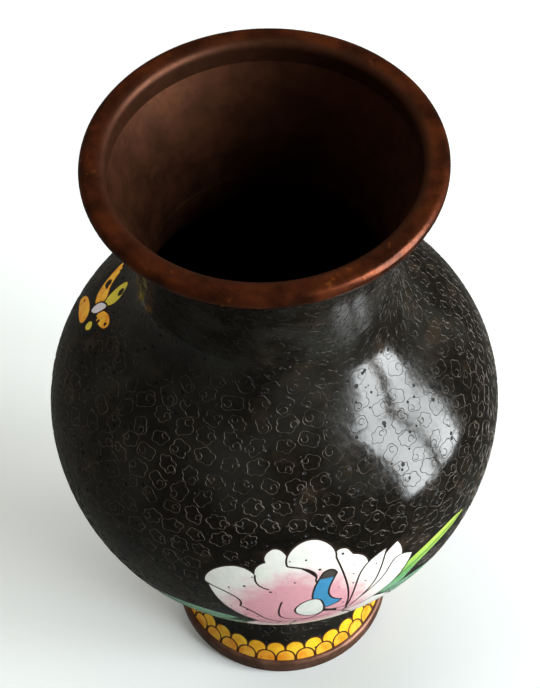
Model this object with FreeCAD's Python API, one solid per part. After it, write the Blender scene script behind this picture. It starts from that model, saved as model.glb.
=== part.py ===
import FreeCAD
import Part

import math
import os

from FreeCAD import Vector

# A cloisonne vase: spun copper shells brazed end to end, a copper ring round the mouth and the foot,
# ribbon wires standing on the copper, and enamel fused between the wires and ground flush with them.
# Millimetres. The origin is the middle of the foot's underside and +Z points up through the mouth.
# Azimuths are degrees from the front of the vase (-Y), growing towards +X.

# Heights, each from one landmark of the outline to the next
FOOT_HEIGHT = 24.6
LOWER_BODY_HEIGHT = 54.6
SHOULDER_HEIGHT = 43.5
NECK_LENGTH = 26.5

# Radii of the finished enamel surface
BODY_RADIUS = 46.5
WAIST_RADIUS = 20.15
NECK_RADIUS = 24.15
WAIST_CURVE = 12.0
NECK_CURVE = 20.0
FOOT_FLARE = 4.05
MOUTH_FLARE = 6.6

# Walls
COPPER_WALL = 0.8
ENAMEL_DEPTH = 1.0
BRAZE_WIDTH = 0.6

# Copper ring round the mouth
RIM_THICKNESS = 3.2
RIM_OVERHANG = 1.95
RIM_WIDTH = 4.7
RIM_OUTER_ROUND = 1.5
RIM_INNER_ROUND = 1.6

# Copper ring round the foot
RING_HEIGHT = 3.9
RING_STEP = 1.1
RING_WIDTH = 3.6
RING_ROUND = 0.9
RING_SOCKET = 1.5

# Floor of the vase, let into the foot
FLOOR_RECESS = 4.6
FLOOR_THICKNESS = 1.0
FLOOR_ENAMEL = 0.7

# Ribbon wires of the picture, bent in runs of plain arcs as close to the drawn curve as this
WIRE = 0.4
BEND_ERROR = 0.04

# Prisms that cut the picture's cells out of the wall: their depth as a share of the wall's radius,
# and how much of that depth stands outside the wall
PRISM_SHARE = 0.6
OUTSIDE_SHARE = 0.25

# Border of overlapping scallops round the foot
SCALLOPS = 32
LOW_SCALLOP_HEIGHT = 2.7
HIGH_SCALLOP_HEIGHT = 5.3

# Places of the picture's groups on the body: azimuth, and the tilt of the wall there
PEONY_PLACE = (8.0, 0.0)
LEAF_PLACE = (45.0, 0.0)
LOWER_LEAF_PLACE = (-22.0, -18.0)
BUTTERFLY_PLACE = (-102.0, 50.0)
BACK_SPRAY_PLACE = (188.0, -4.0)

# Heights of the landmarks above the rest plane
WAIST_Z = FOOT_HEIGHT
BELLY_Z = WAIST_Z + LOWER_BODY_HEIGHT
NECK_Z = BELLY_Z + SHOULDER_HEIGHT
RIM_Z = NECK_Z + NECK_LENGTH
TOP_Z = RIM_Z + RIM_THICKNESS

COPPER_INSET = ENAMEL_DEPTH
INSIDE_INSET = ENAMEL_DEPTH + COPPER_WALL
ORIGIN = Vector(0, 0, 0)
UP = Vector(0, 0, 1)
FULL_TURN = 360.0
SEAM_AZIMUTH = 128.0


# ---------------------------------------------------------------- outline of the vase

def bulge_radius(widest, narrowest, height, hollow):
    """Radius of the round arc that starts upright at the widest place and runs smoothly into a
    hollow arc, which ends upright at the narrowest place."""
    across = widest - narrowest - hollow
    return (across ** 2 + height ** 2 - hollow ** 2) / (2 * (widest - narrowest))


def flare_radius(outward, height):
    """Radius of the hollow arc that starts upright and moves outward over a height."""
    return (outward ** 2 + height ** 2) / (2 * outward)


SHOULDER_ROUND = bulge_radius(BODY_RADIUS, NECK_RADIUS, SHOULDER_HEIGHT, NECK_CURVE)
BELLY_ROUND = bulge_radius(BODY_RADIUS, WAIST_RADIUS, LOWER_BODY_HEIGHT, WAIST_CURVE)
FOOT_ROUND = flare_radius(FOOT_FLARE, FOOT_HEIGHT - RING_HEIGHT)
MOUTH_ROUND = flare_radius(MOUTH_FLARE, NECK_LENGTH)

# Centres of the arcs, as (radius from the axis, height)
FOOT_CENTRE = (WAIST_RADIUS + FOOT_ROUND, WAIST_Z)
WAIST_CENTRE = (WAIST_RADIUS + WAIST_CURVE, WAIST_Z)
BELLY_CENTRE = (BODY_RADIUS - BELLY_ROUND, BELLY_Z)
SHOULDER_CENTRE = (BODY_RADIUS - SHOULDER_ROUND, BELLY_Z)
NECK_CENTRE = (NECK_RADIUS + NECK_CURVE, NECK_Z)
MOUTH_CENTRE = (NECK_RADIUS + MOUTH_ROUND, NECK_Z)


def on_circle(centre, radius, angle):
    """Point of a circle in the half plane of the outline."""
    return Vector(centre[0] + radius * math.cos(angle), 0, centre[1] + radius * math.sin(angle))


def arc(centre, radius, start, end):
    """Arc of the outline between two angles in radians."""
    middle = (start + end) / 2
    return Part.Arc(on_circle(centre, radius, start),
                    on_circle(centre, radius, middle),
                    on_circle(centre, radius, end)).toShape()


def outline(inset):
    """The wall's outline from the foot's socket up to the mouth ring, at a depth under the enamel."""
    foot_radius = FOOT_ROUND + inset
    mouth_radius = MOUTH_ROUND + inset
    socket_drop = WAIST_Z - (RING_HEIGHT - RING_SOCKET)
    foot_end = math.pi + math.asin(socket_drop / foot_radius)
    mouth_end = math.pi - math.asin(NECK_LENGTH / mouth_radius)
    waist_turn = math.atan2(BELLY_CENTRE[1] - WAIST_CENTRE[1], BELLY_CENTRE[0] - WAIST_CENTRE[0])
    neck_turn = math.atan2(NECK_CENTRE[1] - SHOULDER_CENTRE[1], NECK_CENTRE[0] - SHOULDER_CENTRE[0])
    return [
        arc(FOOT_CENTRE, foot_radius, foot_end, math.pi),
        arc(WAIST_CENTRE, WAIST_CURVE + inset, math.pi, waist_turn),
        arc(BELLY_CENTRE, BELLY_ROUND - inset, waist_turn - math.pi, 0.0),
        arc(SHOULDER_CENTRE, SHOULDER_ROUND - inset, 0.0, neck_turn),
        arc(NECK_CENTRE, NECK_CURVE + inset, neck_turn + math.pi, math.pi),
        arc(MOUTH_CENTRE, mouth_radius, math.pi, mouth_end),
    ]


def ends(edges):
    """First and last point of a chain of outline edges that runs upwards."""
    points = [vertex.Point for edge in edges for vertex in edge.Vertexes]
    return min(points, key=lambda p: p.z), max(points, key=lambda p: p.z)


def closed_face(edges):
    """Plane face inside a closed chain of edges."""
    return Part.Face(Part.Wire(Part.__sortEdges__(edges)))


def wall_section(outer_inset, inner_inset):
    """Section of the wall between two depths, all the way from foot to mouth."""
    outer = outline(outer_inset)
    inner = outline(inner_inset)
    outer_low, outer_high = ends(outer)
    inner_low, inner_high = ends(inner)
    low_edge = Part.makeLine(outer_low, inner_low)
    high_edge = Part.makeLine(outer_high, inner_high)
    return closed_face(outer + inner + [low_edge, high_edge])


def inside_section(inset):
    """Section of all that lies inside the wall's outline at a depth."""
    edges = outline(inset)
    low, high = ends(edges)
    low_middle = Vector(0, 0, low.z)
    high_middle = Vector(0, 0, high.z)
    closing = [Part.makeLine(low, low_middle), Part.makeLine(low_middle, high_middle),
               Part.makeLine(high_middle, high)]
    return closed_face(edges + closing)


def box_section(inner, low, outer, high):
    """Rectangle of the half plane, from radius to radius and height to height."""
    corners = [Vector(inner, 0, low), Vector(outer, 0, low), Vector(outer, 0, high), Vector(inner, 0, high)]
    return Part.Face(Part.makePolygon(corners + corners[:1]))


def between(section, low, high):
    """The part of a section between two heights."""
    return section.common(box_section(0, low, 2 * BODY_RADIUS, high))


def spin(section):
    """Solid of a section turned round the axis, with its seam on the plain side of the vase."""
    solids = [face.revolve(ORIGIN, UP, FULL_TURN) for face in section.Faces]
    solid = solids[0] if len(solids) == 1 else Part.makeCompound(solids)
    solid.rotate(ORIGIN, UP, SEAM_AZIMUTH - 90.0)
    return solid


# ---------------------------------------------------------------- copper

def rounded_section(inner, low, outer, high, corner_rounds):
    """Rectangle with a round at each corner: inner low, outer low, outer high, inner high. 0 is sharp."""
    corners = [Vector(inner, 0, low), Vector(outer, 0, low), Vector(outer, 0, high), Vector(inner, 0, high)]
    steps = []
    for number, corner in enumerate(corners):
        radius = corner_rounds[number]
        towards_last = (corners[number - 1] - corner).normalize()
        towards_next = (corners[(number + 1) % 4] - corner).normalize()
        centre = corner + (towards_last + towards_next) * radius
        first = corner + towards_last * radius
        last = corner + towards_next * radius
        outward = (towards_last + towards_next).normalize() * -radius
        steps.append((first, centre + outward, last))
    edges = []
    for number, (first, middle, last) in enumerate(steps):
        if corner_rounds[number] > 0:
            edges.append(Part.Arc(first, middle, last).toShape())
        edges.append(Part.makeLine(last, steps[(number + 1) % 4][0]))
    return closed_face(edges)


def mouth_rim_ring():
    """Ring on top of the neck, with a lip that fills the corner inside the flaring neck shell."""
    outer = NECK_RADIUS + MOUTH_FLARE + RIM_OVERHANG
    inner = outer - RIM_WIDTH
    rounds = [0, RIM_OUTER_ROUND, RIM_OUTER_ROUND, RIM_INNER_ROUND]
    ring = spin(rounded_section(inner, RIM_Z, outer, TOP_Z, rounds))
    lip_low = RIM_Z - RIM_THICKNESS
    lip = between(inside_section(ENAMEL_DEPTH + COPPER_WALL), lip_low, RIM_Z)
    lip = spin(lip.cut(box_section(0, lip_low, inner, RIM_Z)))
    return ring.fuse(lip).removeSplitter()


def foot_rim_ring():
    """Ring with a flat underside and a groove in its top that holds the edge of the foot shell."""
    outer = WAIST_RADIUS + FOOT_FLARE + RING_STEP
    foot_round = RING_ROUND / 2
    rounds = [foot_round, foot_round, RING_ROUND, foot_round]
    ring = rounded_section(outer - RING_WIDTH, 0, outer, RING_HEIGHT, rounds)
    return spin(ring.cut(inside_section(COPPER_INSET)))


def copper_shell(low, high):
    return spin(between(wall_section(COPPER_INSET, INSIDE_INSET), low, high))


def braze_seam(height):
    """Braze metal between the edges of two shells."""
    return copper_shell(height - BRAZE_WIDTH / 2, height + BRAZE_WIDTH / 2)


def floor_disc(low, thickness):
    """Disc that fills the foot from wall to wall."""
    return spin(between(inside_section(INSIDE_INSET), low, low + thickness))


# ---------------------------------------------------------------- places on the wall

class Place:
    """A flat drawing plane that touches the body, with its middle at a place of the wall."""

    def __init__(self, azimuth, tilt):
        tilt = math.radians(tilt)
        centre, radius = (SHOULDER_CENTRE, SHOULDER_ROUND) if tilt >= 0 else (BELLY_CENTRE, BELLY_ROUND)
        self.set_frame(azimuth, tilt, on_circle(centre, radius, tilt))

    def set_frame(self, azimuth, tilt, point):
        turn = math.radians(azimuth)
        outward = Vector(math.sin(turn), -math.cos(turn), 0)
        self.across = Vector(math.cos(turn), math.sin(turn), 0)
        self.out = outward * math.cos(tilt) + UP * math.sin(tilt)
        self.up = UP * math.cos(tilt) - outward * math.sin(tilt)
        self.middle = outward * point.x + UP * point.z

    def stand(self, face, depth):
        """Prism of a flat drawing, through the wall where the plane touches it."""
        placed = face.copy()
        placed.transformShape(FreeCAD.Matrix(
            self.across.x, self.up.x, self.out.x, self.middle.x,
            self.across.y, self.up.y, self.out.y, self.middle.y,
            self.across.z, self.up.z, self.out.z, self.middle.z,
            0, 0, 0, 1))
        placed.translate(self.out * depth * OUTSIDE_SHARE)
        return placed.extrude(self.out * -depth)


class FootPlace(Place):
    """An upright drawing plane at the lower edge of the foot's enamel."""

    def __init__(self, azimuth):
        self.set_frame(azimuth, 0.0, Vector(WAIST_RADIUS + FOOT_FLARE, 0, RING_HEIGHT))


# ---------------------------------------------------------------- flat drawings

def curve(points):
    """Run of smooth arcs through flat points."""
    spline = Part.BSplineCurve()
    spline.interpolate([Vector(x, y, 0) for x, y in points])
    return [piece.toShape() for piece in spline.toBiArcs(BEND_ERROR)]


def sides(*point_lists):
    """Outline of smooth sides that meet in corners."""
    return Part.Wire([edge for points in point_lists for edge in curve(points)])


def loop(points):
    """Smooth closed outline through flat points."""
    spline = Part.BSplineCurve()
    spline.interpolate(Points=[Vector(x, y, 0) for x, y in points], PeriodicFlag=True)
    return Part.Wire([piece.toShape() for piece in spline.toBiArcs(BEND_ERROR)])


def oval(across, up, half_width, half_height):
    """Upright oval outline about a middle."""
    return loop([(across + half_width, up), (across, up + half_height),
                 (across - half_width, up), (across, up - half_height)])


def petal(base, tip, half_width):
    """Outline of a petal with a round end, from its base to its tip."""
    along = Vector(tip[0] - base[0], tip[1] - base[1], 0)
    beside = Vector(-along.y, along.x, 0).normalize() * half_width
    start = Vector(base[0], base[1], 0)
    places = [start, start + along * 0.45 + beside * 0.8, start + along * 0.85 + beside * 0.75,
              start + along, start + along * 0.85 - beside * 0.75, start + along * 0.45 - beside * 0.8, start]
    return sides([(place.x, place.y) for place in places])


def leaf(base, tip, half_width):
    """Outline of a pointed leaf and the rib along its middle, which bends to one side."""
    along = Vector(tip[0] - base[0], tip[1] - base[1], 0)
    beside = Vector(-along.y, along.x, 0).normalize() * half_width
    start = Vector(base[0], base[1], 0)
    high = start + along * 0.45 + beside * 1.15
    low = start + along * 0.4 - beside * 0.85
    rib = start + along * 0.45 + beside * 0.2
    tip_stop = start + along * 0.9 + beside * 0.05
    outline_wire = sides([base, (high.x, high.y), tip], [tip, (low.x, low.y), base])
    return outline_wire, [base, (rib.x, rib.y), (tip_stop.x, tip_stop.y)]


def ribbon(points):
    """Flat section of a free wire along a curve."""
    line = Part.Wire(curve(points))
    return Part.Face(line.makeOffset2D(WIRE / 2, 0, False, False, False))


class Drawing:
    """Cells of one group, drawn from the front one to the hindmost. Each cell has a wire round it,
    and a cell stops where the wire of a cell in front of it begins."""

    def __init__(self):
        self.covered = []
        self.wires = []
        self.fills = {}

    def uncovered(self, face):
        """Faces that are left of a face behind the cells and wires drawn so far."""
        parts = [face]
        for front in self.covered:
            parts = [piece for part in parts for piece in part.cut(front).Faces]
        return parts

    def free_wire(self, points):
        face = ribbon(points)
        self.wires += self.uncovered(face)
        self.covered.append(face)

    def cell(self, colour, wire):
        inside = Part.Face(wire)
        grown = Part.Face(wire.makeOffset2D(WIRE, 0, False, False, False))
        self.fills.setdefault(colour, []).extend(self.uncovered(inside))
        for border in grown.cut(inside).Faces:
            self.wires += self.uncovered(border)
        self.covered.append(grown)


# ---------------------------------------------------------------- the pictures

def peony():
    """Open blossom, about 41 mm across, with a round bud and a blue stamen in its middle."""
    drawing = Drawing()
    drawing.free_wire([(-11.6, 5.2), (-11.0, 2.0), (-9.3, 0.6)])
    drawing.cell("bud", oval(-1.3, -9.8, 2.7, 4.5))
    drawing.cell("stamen", sides([(1.6, 4.5), (0.0, 0.5), (-0.4, -5.7), (1.4, -10.5)],
                                 [(1.4, -10.5), (3.4, -9.8), (4.9, -7.9)],
                                 [(4.9, -7.9), (2.6, -5.2), (2.4, -1.0), (3.9, 3.8)],
                                 [(3.9, 3.8), (2.9, 5.0), (1.6, 4.5)]))
    drawing.free_wire([(-6.8, -5.1), (-7.4, -10.3), (-6.4, -14.6), (-2.2, -17.0), (3.1, -16.6)])
    drawing.cell("petals", sides([(6.4, -15.2), (7.2, -9.4), (8.1, -3.5), (9.6, 2.4), (14.1, 5.6)],
                                 [(14.1, 5.6), (13.0, 0.5), (11.6, -4.8), (9.2, -9.6), (6.4, -15.2)]))
    drawing.cell("petals", sides([(-5.2, 7.9), (-4.4, 11.4), (-0.1, 13.4), (3.4, 11.0), (3.9, 8.2)],
                                 [(3.9, 8.2), (5.2, 3.0), (6.2, -4.0), (6.0, -13.0)],
                                 [(6.0, -13.0), (2.5, -12.0), (0.4, -4.0), (0.1, 2.6)],
                                 [(0.1, 2.6), (-0.6, 5.8), (-3.0, 7.2), (-5.2, 7.9)]))
    drawing.cell("petals", sides([(6.0, -16.0), (10.0, -9.5), (14.4, -3.2), (16.4, 0.8), (19.9, -0.8)],
                                 [(19.9, -0.8), (18.6, -4.6), (15.8, -9.8), (11.8, -13.6), (6.0, -16.0)]))
    drawing.cell("petals", sides([(7.5, -13.5), (11.5, -3.0), (13.6, 3.4), (16.6, 6.0)],
                                 [(16.6, 6.0), (17.6, 2.2), (16.0, -4.0), (12.5, -9.5), (7.5, -13.5)]))
    drawing.cell("petals", sides([(3.2, 8.0), (5.2, 10.0), (7.4, 7.8)],
                                 [(7.4, 7.8), (9.6, 6.2), (10.4, 3.4)],
                                 [(10.4, 3.4), (9.8, -6.0), (7.0, -13.5)],
                                 [(7.0, -13.5), (5.0, -4.0), (3.2, 8.0)]))
    drawing.cell("petals", sides([(-20.9, 1.0), (-19.2, 5.4), (-14.8, 7.4), (-11.6, 5.2)],
                                 [(-11.6, 5.2), (-11.1, 7.6), (-9.3, 8.9)],
                                 [(-9.3, 8.9), (-8.9, 11.2), (-7.2, 12.1), (-5.4, 10.4), (-5.0, 8.2)],
                                 [(-5.0, 8.2), (0.8, 2.0), (2.4, -8.0), (-1.5, -17.6)],
                                 [(-1.5, -17.6), (-8.6, -16.4), (-12.2, -10.4), (-14.6, -7.6)],
                                 [(-14.6, -7.6), (-15.2, -3.6), (-17.8, -1.2), (-20.9, 1.0)]))
    drawing.cell("petals", sides([(-20.4, 0.2), (-18.8, -5.5), (-15.0, -12.6), (-8.0, -20.5)],
                                 [(-8.0, -20.5), (-6.5, -14.0), (-11.0, -5.0), (-20.4, 0.2)]))
    drawing.cell("petals", petal((1.0, -13.0), (2.0, -29.0), 7.0))
    drawing.cell("petals", petal((-2.0, -13.0), (-11.0, -26.5), 6.0))
    drawing.cell("petals", petal((5.0, -12.0), (14.0, -24.0), 6.0))
    return drawing


def leaves():
    """Leaves to the right of the blossom, which stand behind its petals."""
    drawing = Drawing()
    drawing.free_wire([(-16.0, -13.0), (-7.0, -5.4), (0.0, -3.0), (4.4, -2.7)])
    drawing.cell("leaves", sides([(-17.0, -12.0), (-9.6, -3.4), (-2.7, -1.1), (2.4, -1.0), (6.0, -2.6)],
                                 [(6.0, -2.6), (0.4, -4.4), (-5.5, -6.6), (-9.0, -10.5)],
                                 [(-9.0, -10.5), (-11.5, -14.0), (-17.0, -12.0)]))
    for base, tip, half_width in (((-15.0, -15.0), (2.0, -21.0), 3.6), ((-17.0, -17.0), (-9.0, -32.0), 3.4)):
        wire, rib = leaf(base, tip, half_width)
        drawing.free_wire(rib)
        drawing.cell("leaves", wire)
    return drawing


def lower_leaves():
    """Leaves under the left side of the blossom."""
    drawing = Drawing()
    for base, tip, half_width in (((8.0, 1.0), (-12.0, -1.0), 3.6), ((9.0, -2.0), (-4.0, -14.0), 3.6)):
        wire, rib = leaf(base, tip, half_width)
        drawing.free_wire(rib)
        drawing.cell("leaves", wire)
    return drawing


def butterfly():
    """Butterfly on the shoulder, about 17 mm across, with four wings round a pale body."""
    drawing = Drawing()
    drawing.cell("spots", oval(-3.7, 0.9, 0.6, 0.5))
    drawing.cell("spots", oval(0.7, 6.1, 0.5, 0.6))
    drawing.cell("body", loop([(1.9, -2.0), (1.2, -0.4), (1.7, 1.3), (2.9, 2.3), (3.5, 0.7), (3.1, -1.3)]))
    drawing.cell("wings", sides([(0.2, -1.5), (-3.0, -1.2), (-5.4, 0.2), (-7.4, 1.6), (-8.9, 2.9)],
                                [(-8.9, 2.9), (-6.4, 3.3), (-4.2, 2.5), (-2.2, 1.9), (0.4, 1.8), (1.6, 0.2)],
                                [(1.6, 0.2), (1.2, -1.0), (0.2, -1.5)]))
    drawing.cell("wing_tips", sides([(1.6, 1.4), (-0.6, 3.4), (-1.5, 5.4), (-1.3, 7.2), (-0.4, 8.0)],
                                    [(-0.4, 8.0), (1.6, 6.8), (2.7, 5.0), (2.9, 3.2), (1.6, 1.4)]))
    drawing.cell("wings", loop([(-4.4, -8.6), (-3.6, -6.2), (-1.2, -4.2), (1.2, -3.1), (3.4, -3.3),
                                (4.1, -4.5), (2.6, -6.2), (0.0, -7.5), (-2.4, -8.5)]))
    drawing.cell("wings", loop([(3.5, 1.1), (4.6, 2.9), (6.5, 4.1), (8.0, 3.9), (8.2, 2.9), (7.2, 1.5),
                                (5.6, 0.3), (4.2, 0.2)]))
    drawing.cell("wing_tips", loop([(5.1, -2.4), (5.6, -1.0), (6.8, -1.2), (6.4, -2.8)]))
    return drawing


def back_spray():
    """Small blossom of five petals with its leaves, on the side of the body away from the peony."""
    drawing = Drawing()
    drawing.cell("bud", oval(0.0, 0.0, 2.2, 2.2))
    for number in range(5):
        turn = math.radians(90 + 72 * number)
        tip = (11.0 * math.cos(turn), 11.0 * math.sin(turn))
        drawing.cell("blossom", petal((0.0, 0.0), tip, 5.2))
    for base, tip, half_width in (((5.0, -5.0), (21.0, -12.0), 3.6),
                                  ((-5.0, -5.0), (-20.0, -13.0), 3.6),
                                  ((0.0, -6.0), (3.0, -24.0), 3.6),
                                  ((-6.0, 4.0), (-19.0, 12.0), 3.0)):
        wire, rib = leaf(base, tip, half_width)
        drawing.free_wire(rib)
        drawing.cell("leaves", wire)
    return drawing


# ---------------------------------------------------------------- enamel

def inlay(ground, drawing, place, fill_nodes, wire_node, nodes):
    """Set a drawing's cells and wires into the ground enamel, and give back the ground that is left."""
    depth = BODY_RADIUS * PRISM_SHARE
    for colour, faces in drawing.fills.items():
        for face in faces:
            nodes[fill_nodes[colour]] += ground.common(place.stand(face, depth)).Solids
    for face in drawing.wires:
        nodes[wire_node] += ground.common(place.stand(face, depth)).Solids
    for face in drawing.covered:
        ground = ground.cut(place.stand(face, depth))
    return ground


def scallop(half_width, height):
    """Arch with a round top, standing on the lower edge of the foot's enamel."""
    below = -RING_HEIGHT / 2
    shoulder = height - half_width
    left_foot = Vector(-half_width, below, 0)
    left = Vector(-half_width, shoulder, 0)
    right = Vector(half_width, shoulder, 0)
    right_foot = Vector(half_width, below, 0)
    return Part.Wire([Part.makeLine(left_foot, left), Part.Arc(left, Vector(0, height, 0), right).toShape(),
                      Part.makeLine(right, right_foot), Part.makeLine(right_foot, left_foot)])


def sector(azimuth, sweep):
    """Wedge of space about an azimuth, as high as the foot."""
    size = 2 * (WAIST_RADIUS + FOOT_FLARE)
    wedge = Part.makeCylinder(size, FOOT_HEIGHT, ORIGIN, UP, sweep)
    wedge.rotate(ORIGIN, UP, azimuth - 90.0 - sweep / 2)
    return wedge


def foot_border(enamel, nodes):
    """Two rows of scallops round the foot. The upper row stands behind the lower one, half a step on."""
    step = FULL_TURN / SCALLOPS
    half_width = (WAIST_RADIUS + FOOT_FLARE) * math.tan(math.radians(step / 2)) - WIRE / 2
    low_fill = Part.Face(scallop(half_width - WIRE / 2, LOW_SCALLOP_HEIGHT))
    low_all = Part.Face(scallop(half_width + WIRE / 2, LOW_SCALLOP_HEIGHT + WIRE))
    high_fill = Part.Face(scallop(half_width - WIRE / 2, HIGH_SCALLOP_HEIGHT))
    high_all = Part.Face(scallop(half_width + WIRE / 2, HIGH_SCALLOP_HEIGHT + WIRE))
    depth = WAIST_RADIUS * PRISM_SHARE
    first = FootPlace(0.0)
    before = FootPlace(-step / 2)
    after = FootPlace(step / 2)
    low_wedge = enamel.common(sector(0.0, step))
    low_group = low_wedge.common(first.stand(low_all, depth))
    low_cell = low_group.common(first.stand(low_fill, depth))
    low_wire = low_group.cut(first.stand(low_fill, depth))
    behind = low_wedge.cut([before.stand(low_all, depth), after.stand(low_all, depth)])
    high_group = behind.common(first.stand(high_all, depth))
    high_cell = high_group.common(first.stand(high_fill, depth))
    high_wire = high_group.cut(first.stand(high_fill, depth))
    ground = behind.cut(first.stand(high_all, depth))
    ground_parts = []
    for number in range(SCALLOPS):
        turned = step * number
        for node, shape, turn in (("foot_border_lower_enamel", low_cell, turned),
                                  ("foot_border_upper_enamel", high_cell, turned + step / 2),
                                  ("foot_border_wires", low_wire, turned),
                                  ("foot_border_wires", high_wire, turned + step / 2),
                                  (None, ground, turned + step / 2)):
            copy = shape.copy()
            copy.rotate(ORIGIN, UP, turn)
            if node is None:
                ground_parts += copy.Solids
            else:
                nodes[node] += copy.Solids
    return ground_parts[0].multiFuse(ground_parts[1:]).removeSplitter()


def build():
    """Every piece of the vase, by node name."""
    names = ["peony_petal_enamel", "peony_bud_enamel", "peony_stamen_enamel", "peony_wires",
             "leaf_enamel", "leaf_wires", "butterfly_wing_enamel", "butterfly_wing_tip_enamel",
             "butterfly_body_enamel", "butterfly_spot_enamel", "butterfly_wires",
             "back_blossom_enamel", "back_blossom_centre_enamel", "back_leaf_enamel", "back_spray_wires",
             "foot_border_upper_enamel", "foot_border_lower_enamel", "foot_border_wires"]
    nodes = {name: [] for name in names}
    half_braze = BRAZE_WIDTH / 2
    nodes["mouth_rim_ring"] = [mouth_rim_ring()]
    nodes["neck_shell"] = [copper_shell(NECK_Z + half_braze, RIM_Z)]
    nodes["neck_braze_seam"] = [braze_seam(NECK_Z)]
    nodes["upper_body_shell"] = [copper_shell(BELLY_Z + half_braze, NECK_Z - half_braze)]
    nodes["belly_braze_seam"] = [braze_seam(BELLY_Z)]
    nodes["lower_body_shell"] = [copper_shell(WAIST_Z + half_braze, BELLY_Z - half_braze)]
    nodes["waist_braze_seam"] = [braze_seam(WAIST_Z)]
    nodes["foot_shell"] = [copper_shell(RING_HEIGHT - RING_SOCKET, WAIST_Z - half_braze)]
    nodes["foot_rim_ring"] = [foot_rim_ring()]
    nodes["base_plate"] = [floor_disc(FLOOR_RECESS, FLOOR_THICKNESS)]
    nodes["base_counter_enamel"] = [floor_disc(FLOOR_RECESS - FLOOR_ENAMEL, FLOOR_ENAMEL)]

    enamel = wall_section(0.0, ENAMEL_DEPTH)
    nodes["neck_ground_enamel"] = [spin(between(enamel, NECK_Z, RIM_Z))]
    nodes["foot_ground_enamel"] = [foot_border(spin(between(enamel, RING_HEIGHT, WAIST_Z)), nodes)]

    ground = spin(between(enamel, WAIST_Z, NECK_Z))
    front_fills = {"petals": "peony_petal_enamel", "bud": "peony_bud_enamel",
                   "stamen": "peony_stamen_enamel", "leaves": "leaf_enamel"}
    butterfly_fills = {"wings": "butterfly_wing_enamel", "wing_tips": "butterfly_wing_tip_enamel",
                       "body": "butterfly_body_enamel", "spots": "butterfly_spot_enamel"}
    back_fills = {"blossom": "back_blossom_enamel", "bud": "back_blossom_centre_enamel",
                  "leaves": "back_leaf_enamel"}
    for drawing, place, fills, wires in (
            (peony(), PEONY_PLACE, front_fills, "peony_wires"),
            (leaves(), LEAF_PLACE, front_fills, "leaf_wires"),
            (lower_leaves(), LOWER_LEAF_PLACE, front_fills, "leaf_wires"),
            (butterfly(), BUTTERFLY_PLACE, butterfly_fills, "butterfly_wires"),
            (back_spray(), BACK_SPRAY_PLACE, back_fills, "back_spray_wires")):
        ground = inlay(ground, drawing, Place(*place), fills, wires, nodes)
    nodes["body_ground_enamel"] = [ground]
    return nodes


os.makedirs("parts", exist_ok=True)
for name, pieces in build().items():
    solids = [solid for piece in pieces for solid in piece.Solids]
    shape = solids[0] if len(solids) == 1 else Part.makeCompound(solids)
    shape.exportStep("parts/" + name + ".step")
    size = shape.BoundBox
    print(f"{name}: {len(solids)} solids, valid {shape.isValid()}, volume {shape.Volume:.2f}, "
          f"z {size.ZMin:.2f} to {size.ZMax:.2f}")
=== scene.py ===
# %% [markdown]
# # A cloisonne vase
#
# Cloisonne is enamel on copper. A coppersmith spins the body from sheet, a second maker bends flat
# ribbon wire into the outlines of a picture and stands it on edge on the copper, and the hollows
# between the wires are filled with wet glass powder, fired, and ground flush. This lesson keeps the
# measured model of the vase as it is, gives every part its finish, and adds the one thing that is
# too fine for it: some fifteen hundred small cloud wires scattered through the black ground.

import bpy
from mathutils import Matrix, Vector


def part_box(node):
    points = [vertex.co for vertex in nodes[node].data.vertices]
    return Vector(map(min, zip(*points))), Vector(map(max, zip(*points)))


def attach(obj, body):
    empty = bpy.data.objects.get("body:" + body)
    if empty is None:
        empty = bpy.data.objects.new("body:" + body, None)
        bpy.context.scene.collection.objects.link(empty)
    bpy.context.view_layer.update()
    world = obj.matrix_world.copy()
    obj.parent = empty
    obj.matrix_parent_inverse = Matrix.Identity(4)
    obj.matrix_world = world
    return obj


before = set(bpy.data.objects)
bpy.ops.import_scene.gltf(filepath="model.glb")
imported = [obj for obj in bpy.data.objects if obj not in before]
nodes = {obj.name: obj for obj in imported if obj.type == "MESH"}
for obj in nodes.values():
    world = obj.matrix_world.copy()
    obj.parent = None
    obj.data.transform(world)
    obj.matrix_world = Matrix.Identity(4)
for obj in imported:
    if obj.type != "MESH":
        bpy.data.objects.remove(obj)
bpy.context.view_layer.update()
print(len(nodes), "measured nodes")

# %% Tools used throughout
import math
import random

import bmesh
import bpy
import numpy as np
from mathutils import Matrix, Vector
from mathutils.bvhtree import BVHTree

MM = 0.001

# %% [markdown]
# ## The wall's outline
#
# The wires have to lie on the wall, so the first thing needed is the wall itself as numbers. On the
# real vase it is one smooth line turned on a lathe. It could be sampled from the mesh by casting rays,
# but the cells of the picture leave gaps there. Here six arcs that run smoothly into each other give
# it exactly: their heights and radii are read from the measured parts.

# %% Landmarks of the outline
def points_of(name):
    """Every vertex of a measured part, as rows of x, y and z."""
    mesh = nodes[name].data
    flat = np.empty(len(mesh.vertices) * 3, np.float32)
    mesh.vertices.foreach_get("co", flat)
    return flat.reshape(-1, 3).astype(float)


def widest(name, low, high):
    """Largest distance from the axis of a part's vertices between two heights."""
    points = points_of(name)
    inside = (points[:, 2] >= low) & (points[:, 2] <= high)
    return float(np.hypot(points[inside, 0], points[inside, 1]).max())


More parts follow.
